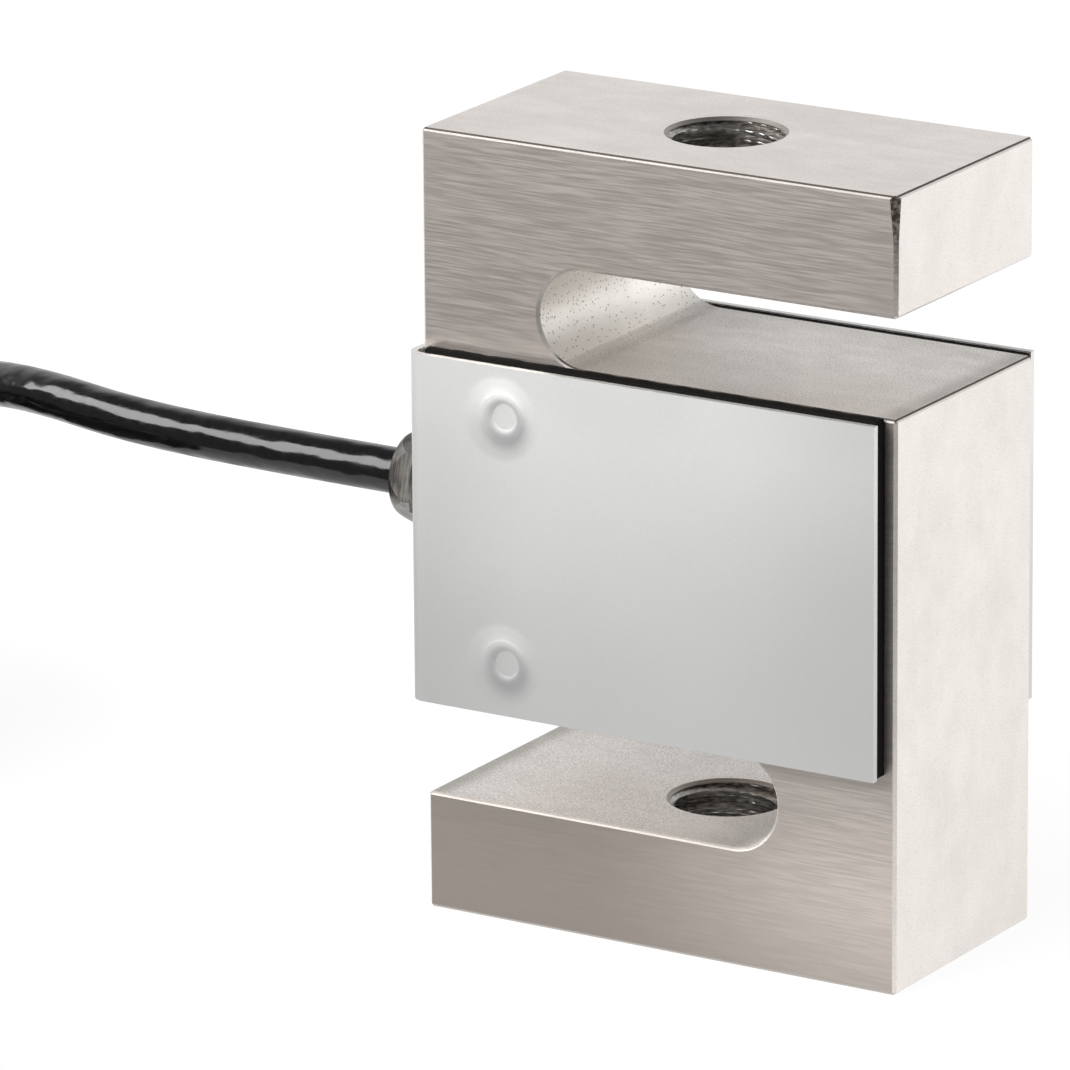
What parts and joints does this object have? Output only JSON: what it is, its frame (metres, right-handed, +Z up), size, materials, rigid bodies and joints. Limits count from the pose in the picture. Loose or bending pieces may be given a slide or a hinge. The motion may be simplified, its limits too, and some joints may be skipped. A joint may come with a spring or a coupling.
{
  "type": "S-type load cell",
  "caption": "S-shaped strain-gauge load cell for tension and compression, with a tapped hole at each end, a folded side cover, a cable gland and a coiled cable with bare ends.",
  "frame": {"origin": "where the lower tapped hole's axis meets the flat bottom face", "axes": "+Z up along the tapped holes, +X to the right of the front panel (the cable leaves to -X), +Y from the front panel to the rear one"},
  "size_m": [0.1746, 0.0627, 0.0762],
  "materials": {
    "plated_steel": "ground, then dull nickel plated",
    "sheet_steel": "stainless sheet, fine blasted, matte",
    "spacer_steel": "turned, bare",
    "black_rubber": "matte black",
    "potting_compound": "cast, soft, translucent white",
    "gauge_foil": "amber film with a metal foil grid",
    "enamelled_wire": "clear enamel over copper",
    "circuit_board": "green laminate",
    "plated_brass": "turned, nickel plated",
    "cable_jacket": "extruded, glossy black",
    "shrink_sleeve": "satin black",
    "black_nylon": "moulded, satin black",
    "red_insulation": "extruded, smooth",
    "black_insulation": "extruded, smooth",
    "green_insulation": "extruded, smooth",
    "white_insulation": "extruded, smooth",
    "shield_insulation": "grey sleeve over the braid's pigtail"
  },
  "bodies": {
    "root": {"s_body": "plated_steel", "cover": "sheet_steel", "front_seal_pad": "black_rubber", "rear_seal_pad": "black_rubber", "front_potting": "potting_compound", "rear_potting": "potting_compound", "front_upper_spacer": "spacer_steel", "front_lower_spacer": "spacer_steel", "rear_upper_spacer": "spacer_steel", "rear_lower_spacer": "spacer_steel", "upper_left_gauge": "gauge_foil", "upper_left_gauge_wire": "enamelled_wire", "upper_right_gauge": "gauge_foil", "upper_right_gauge_wire": "enamelled_wire", "lower_left_gauge": "gauge_foil", "lower_left_gauge_wire": "enamelled_wire", "lower_right_gauge": "gauge_foil", "lower_right_gauge_wire": "enamelled_wire", "terminal_board": "circuit_board", "gland_body": "plated_brass", "gland_screw": "plated_brass", "gland_seal": "black_rubber", "gland_washer": "black_rubber", "cable": "cable_jacket", "cable_coil": "cable_jacket", "end_sleeve": "shrink_sleeve", "red_core_inner_end": "red_insulation", "red_core_free_end": "red_insulation", "black_core_inner_end": "black_insulation", "black_core_free_end": "black_insulation", "green_core_inner_end": "green_insulation", "green_core_free_end": "green_insulation", "white_core_inner_end": "white_insulation", "white_core_free_end": "white_insulation", "shield_core_inner_end": "shield_insulation", "shield_core_free_end": "shield_insulation", "first_coil_tie": "black_nylon", "second_coil_tie": "black_nylon"}
  },
  "joints": []
}
